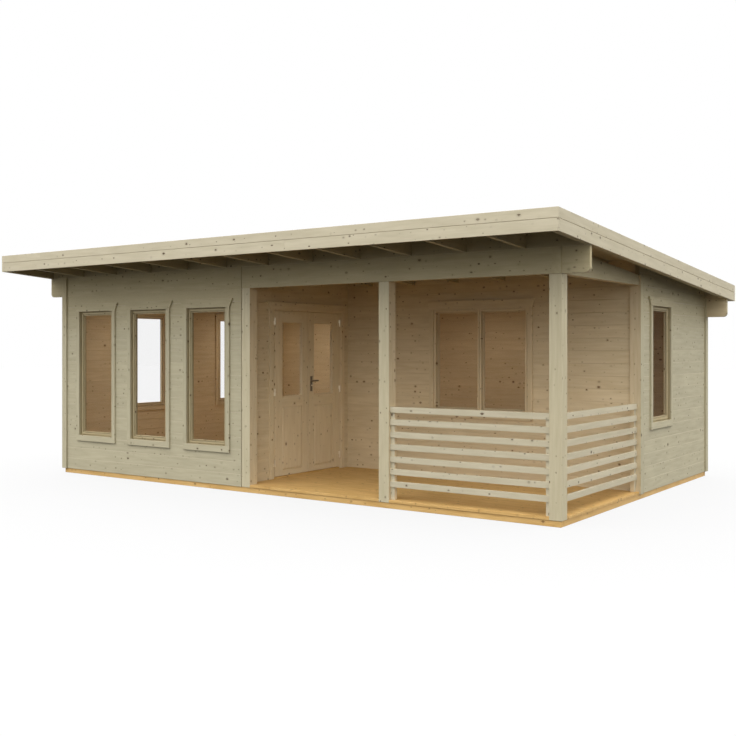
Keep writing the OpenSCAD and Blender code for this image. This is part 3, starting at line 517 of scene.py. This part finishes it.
casings, inner_casings, frames, sashes = (start_piece() for _ in range(4))
for place, width, foot in WINDOWS:
    half, head = width / 2, WINDOW_HEAD
    outer = half + CASING_W
    double = width == DOUBLE_W
    lip_y = (FRAME_LIP_Y[0] - DOUBLE_LIP_FORWARD * double, FRAME_LIP_Y[1])
    sash_y = (SASH_Y[0] - DOUBLE_SASH_FORWARD * double, SASH_Y[1])
    board(casings, (-outer, -TRIM_T, foot - CASING_SILL_H), (outer, 0, foot), "xz", place)
    for side in (-outer, half):
        board(casings, (side, -TRIM_T, foot), (side + CASING_W, 0, head), "zx", place)
    board(casings, (-outer, -TRIM_T, head), (outer, 0, head + CASING_HEAD_H), "xz", place,
          flare=DOUBLE_FLARE if double else CASING_FLARE)
    ring(inner_casings, place, (-outer, outer), (foot - CASING_W, head + CASING_W),
         (WALL_T, WALL_T + TRIM_T), CASING_W, ease=2)
    ring(frames, place, (-half - FRAME_LAP, half + FRAME_LAP), (foot - FRAME_LAP, head + FRAME_LAP),
         (0, WALL_T), FRAME_LAP, ease=1)
    ring(frames, place, (-half, half), (foot, head), lip_y, FRAME_SHOW, ease=1)
    sash_x = (-half + FRAME_SHOW, half - FRAME_SHOW)
    pairs = [(sash_x[0], -SASH_MEETING), (SASH_MEETING, sash_x[1])] if double else [sash_x]
    for x0, x1 in pairs:
        z0, z1 = foot + FRAME_SHOW, head - FRAME_SHOW
        ring(sashes, place, (x0, x1), (z0, z1), sash_y, SASH_W, ease=2.5)
        ring(sashes, place, (x0 + SASH_W, x1 - SASH_W), (z0 + SASH_W, z1 - SASH_W), QUIRK_Y, QUIRK_W, ease=1)
        inset = SASH_W + QUIRK_W
        for bead_y in BEADS_Y:
            ring(sashes, place, (x0 + inset, x1 - inset), (z0 + inset, z1 - inset), bead_y, BEAD_W, ease=2)
end_piece(casings, "window_casing_boards", SPRUCE, "spruce", "house", "window_casings")
end_piece(inner_casings, "window_inner_casing_boards", SHELTERED_AND_LIT, "spruce", "house", "window_inner_casings")
end_piece(frames, "window_frame_timber", SASH, "spruce", "house", "window_frames")
end_piece(sashes, "window_sash_timber", SASH, "spruce", "house", "window_sashes")


# Door: local x runs from the meeting line of the leaves to the back of the house, y into the cabin

DOOR_HALF, JAMB_REVEAL, DOOR_HEAD_Z, DOOR_HEAD_H = 618, 26, 2009, 84
DOOR_CASING_W, DOOR_CASING_T = 64, 12
LEAF_X, LEAF_Z, LEAF_T = (4, 612), (106, 1990), 40
LOCK_STILE_X, HINGE_STILE_X = (LEAF_X[0], 112), (477, LEAF_X[1])
DOOR_GLASS_Z, PANEL_Z = (1013, 1865), (166, 893)
PANEL_BORDER, PANEL_SINK = 32, 12
DOOR_BEADS_Y, DOOR_BEAD_W = ((4, 17), (23, 36)), 6
DOOR_PANE_Y, PANE_REBATE = (17, 23), 10

door_casing = start_piece()
outer = DOOR_HALF + JAMB_REVEAL + DOOR_CASING_W
for side in (-outer, outer - DOOR_CASING_W):
    board(door_casing, (side, -DOOR_CASING_T, FLOOR_Z), (side + DOOR_CASING_W, 0, DOOR_HEAD_Z), "zx", DOOR)
board(door_casing, (-outer, -TRIM_T, DOOR_HEAD_Z), (outer, 0, DOOR_HEAD_Z + DOOR_HEAD_H), "xz", DOOR,
      flare=CASING_FLARE)
end_piece(door_casing, "door_casing_boards", JOINERY, "spruce", "house", "door_casing")


def raised_panel(bm, x, z, place):
    """A panel whose field stands flush with the leaf on both faces, inside a sloping border."""
    low, high = Vector((x[0], PANEL_SINK, z[0])), Vector((x[1], LEAF_T - PANEL_SINK, z[1]))
    box = Matrix.Translation((low + high) / 2) @ Matrix.Diagonal((*(high - low), 1))
    verts = bmesh.ops.create_cube(bm, size=1, matrix=box)["verts"]
    faces = {f for v in verts for f in v.link_faces}
    for face in [f for f in faces if abs(f.normal.y) > 0.5]:
        bmesh.ops.inset_individual(bm, faces=[face], thickness=PANEL_BORDER, depth=PANEL_SINK)
        verts += face.verts
    verts = list(set(verts))
    stamp(bm, verts, "zx")
    bmesh.ops.transform(bm, matrix=place, verts=verts)


def door_leaf(body, place):
    """Two stiles and three rails round a panel and a pane in beads. The left leaf's place is a mirror image,
    so the normals are put right at the end."""
    bm = start_piece()
    for x0, x1 in (LOCK_STILE_X, HINGE_STILE_X):
        board(bm, (x0, 0, LEAF_Z[0]), (x1, LEAF_T, LEAF_Z[1]), "zx", place)
    inner = (LOCK_STILE_X[1], HINGE_STILE_X[0])
    for z0, z1 in ((LEAF_Z[0], PANEL_Z[0]), (PANEL_Z[1], DOOR_GLASS_Z[0]), (DOOR_GLASS_Z[1], LEAF_Z[1])):
        board(bm, (inner[0], 0, z0), (inner[1], LEAF_T, z1), "xz", place)
    raised_panel(bm, inner, PANEL_Z, place)
    for bead_y in DOOR_BEADS_Y:
        ring(bm, place, inner, DOOR_GLASS_Z, bead_y, DOOR_BEAD_W, ease=2)
    bmesh.ops.recalc_face_normals(bm, faces=bm.faces)
    end_piece(bm, body + "_leaf_timber", JOINERY, "spruce", body, body + "_leaf")
    pane = start_piece()
    board(pane, (inner[0] - PANE_REBATE, DOOR_PANE_Y[0], DOOR_GLASS_Z[0] - PANE_REBATE),
          (inner[1] + PANE_REBATE, DOOR_PANE_Y[1], DOOR_GLASS_Z[1] + PANE_REBATE), "zx", place, ease=0.5)
    bmesh.ops.recalc_face_normals(pane, faces=pane.faces)
    end_piece(pane, body + "_pane", GLASS, "clear_glass", body, body + "_glass")


door_leaf("right_door", DOOR)
door_leaf("left_door", DOOR @ Matrix.Scale(-1, 4, (1, 0, 0)))

nodes["window_glass"].data.materials.clear()
nodes["window_glass"].data.materials.append(GLASS)
for node, body in (("frame_hinges", "house"), ("left_door_hinges", "left_door"),
                   ("right_door_hinges", "right_door")):
    carried(node, "z+", ZINC, "zinc_hinge", ease=0.8, body=body)
carried("door_handles", "z+", DARK_METAL, "dark_handle", ease=1.5, body="right_door")

# Lock cylinder through the handle's plates, 5 mm proud of them on both faces, with a rounded rim and a
# sunk core
LOCK_X, LOCK_Z, LOCK_R, LOCK_Y = 59, 1124, 9, (-12, 52)
LOCK_SIDES, LOCK_EASE, LOCK_RIM, CORE_SINK = 24, 1, 2.5, 1
lock = start_piece()
bmesh.ops.create_cone(lock, cap_ends=True, segments=LOCK_SIDES, radius1=LOCK_R, radius2=LOCK_R,
                      depth=LOCK_Y[1] - LOCK_Y[0])
rims = {e for f in lock.faces if len(f.verts) == LOCK_SIDES for e in f.edges}
bmesh.ops.bevel(lock, geom=list(rims), offset=LOCK_EASE, offset_type="OFFSET", affect="EDGES",
                segments=EASE_STEPS, profile=0.5, material=-1)
for face in [f for f in lock.faces if len(f.verts) == LOCK_SIDES]:
    bmesh.ops.inset_individual(lock, faces=[face], thickness=LOCK_RIM)
    bmesh.ops.inset_individual(lock, faces=[face], thickness=CORE_SINK / 2, depth=-CORE_SINK)
lock_place = DOOR @ Matrix.Translation((LOCK_X, sum(LOCK_Y) / 2, LOCK_Z))
bmesh.ops.transform(lock, matrix=lock_place @ Matrix.Rotation(math.radians(90), 4, "X"), verts=lock.verts)
end_piece(lock, "lock_cylinder", ZINC, "zinc_hinge", "right_door")


# Balustrades: local x along the panel, y inwards; the rails are housed in a batten at each end

RAIL_Z, RAIL_PITCH, RAIL_COUNT, RAIL_H, RAIL_Y = 210, 121, 7, 57, (20, 48)
BATTEN_Y, BATTEN_W = (34, 79), 45


def balustrade(node, place, length):
    bm = start_piece()
    for k in range(RAIL_COUNT):
        z = RAIL_Z + k * RAIL_PITCH
        board(bm, (0, RAIL_Y[0], z), (length, RAIL_Y[1], z + RAIL_H), "xz", place, ease=1.5)
    top = RAIL_Z + (RAIL_COUNT - 1) * RAIL_PITCH + RAIL_H
    for x in (0, length - BATTEN_W):
        board(bm, (x, BATTEN_Y[0], FLOOR_Z), (x + BATTEN_W, BATTEN_Y[1], top), "z+", place)
    end_piece(bm, node + "_timber", PLANED_AND_HIGHLIT, "spruce", "house", node)


balustrade("front_balustrade", on_wall(MIDDLE_POST_X + POST_W, 0), HOUSE_W - 2 * POST_W - MIDDLE_POST_X)
balustrade("side_balustrade", on_wall(HOUSE_W, POST_W, 90), TERRACE_D - TRIM_T - POST_W)


# Floor, light and camera

WHITE = (1, 1, 1, 1)
FLOOR_HALF = 60
FLOOR_BOUNCE, FLOOR_SHADE, FLOOR_GLOW = (0.02, 0.02, 0.02, 1), (0.065, 0.065, 0.065, 1), 0.86
# The sky's strength at the horizon, and the way along which it grows: up, and a little to the front left
SKY_HORIZON, SKY_WAY = 0.8, (-0.12, -0.14, 2.4)
# Lamps: place in the house and watts
LAMP_W, LAMP_D, LAMP_Z, LAMP_TINT = 1100, 1000, 2150, (1, 0.87, 0.74)
ROOM_LAMPS = {"front_room": (1000, 900, 6.2), "left_room": (1000, 3200, 8.5), "rear_room": (4100, 3000, 8)}
# A level camera, fitted to the photograph's corners, in metres and degrees
SENSOR_W, LENS, SHIFT_Y = 36, 47.93, -0.0264
CAMERA_PLACE, CAMERA_TURN = (6.889, -9.862, 1.5623), 35.04


def seen_directly(tree):
    """1 where the camera, glass or metal sees the white surround, 0 for the light that it gives."""
    path = add(tree, "ShaderNodeLightPath").outputs
    eye = add(tree, "ShaderNodeMath", {0: path["Is Camera Ray"], 1: path["Is Glossy Ray"]},
              operation="MAXIMUM").outputs[0]
    return add(tree, "ShaderNodeMath", {0: eye, 1: path["Is Transmission Ray"]},
               operation="MAXIMUM").outputs[0]


bm = bmesh.new()
bmesh.ops.create_grid(bm, x_segments=1, y_segments=1, size=FLOOR_HALF)
floor_mesh = bpy.data.meshes.new("studio_floor")
bm.to_mesh(floor_mesh)
bm.free()
floor = bpy.data.objects.new("studio_floor", floor_mesh)
bpy.context.scene.collection.objects.link(floor)

# Pale studio floor: white to the eye with a light shadow, and next to no light thrown back under the eaves
floor_material, tree = start_material("pale_studio_floor")
seen = seen_directly(tree)
bounce = add(tree, "ShaderNodeBsdfDiffuse", {"Color": FLOOR_BOUNCE}).outputs[0]
shade = add(tree, "ShaderNodeBsdfDiffuse", {"Color": FLOOR_SHADE}).outputs[0]
glow = add(tree, "ShaderNodeEmission", {"Color": WHITE, "Strength": FLOOR_GLOW}).outputs[0]
white = add(tree, "ShaderNodeAddShader", {0: shade, 1: glow}).outputs[0]
mix = add(tree, "ShaderNodeMixShader", {0: seen, 1: bounce, 2: white}).outputs[0]
add(tree, "ShaderNodeOutputMaterial", {"Surface": mix})
floor_mesh.materials.append(floor_material)

# Soft sky, brighter overhead; plain white where the camera, glass or metal sees it
scene = bpy.context.scene
world = bpy.data.worlds.new("soft_sky")
scene.world = world
world.use_nodes = True
tree = world.node_tree
tree.nodes.clear()
seen = seen_directly(tree)
way = add(tree, "ShaderNodeTexCoord").outputs["Generated"]
lean = add(tree, "ShaderNodeVectorMath", {0: way, 1: SKY_WAY}, operation="DOT_PRODUCT").outputs["Value"]
strength = add(tree, "ShaderNodeMath", {0: lean, 1: SKY_HORIZON}, operation="ADD").outputs[0]
sky = add(tree, "ShaderNodeBackground", {"Color": WHITE, "Strength": strength}).outputs[0]
plain = add(tree, "ShaderNodeBackground", {"Color": WHITE, "Strength": 1}).outputs[0]
mix = add(tree, "ShaderNodeMixShader", {0: seen, 1: sky, 2: plain}).outputs[0]
add(tree, "ShaderNodeOutputWorld", {"Surface": mix})

# A soft warm lamp in each room, so that the inside shows through the windows
for room, (x, y, watts) in ROOM_LAMPS.items():
    lamp = bpy.data.lights.new(room + "_lamp", "AREA")
    lamp.shape, lamp.size, lamp.size_y = "RECTANGLE", LAMP_W * MM, LAMP_D * MM
    lamp.energy, lamp.color = watts, LAMP_TINT
    lamp_object = bpy.data.objects.new(room + "_lamp", lamp)
    scene.collection.objects.link(lamp_object)
    lamp_object.location = HOUSE @ Vector((x, y, LAMP_Z))
    lamp_object.visible_camera = lamp_object.visible_glossy = lamp_object.visible_transmission = False

scene.view_settings.view_transform = "Standard"
camera = bpy.data.cameras.new("photo_camera")
camera.sensor_width, camera.lens, camera.shift_y = SENSOR_W, LENS, SHIFT_Y
camera_object = bpy.data.objects.new("photo_camera", camera)
scene.collection.objects.link(camera_object)
camera_object.location = CAMERA_PLACE
camera_object.rotation_euler = (math.radians(90), 0, math.radians(CAMERA_TURN))
scene.camera = camera_object
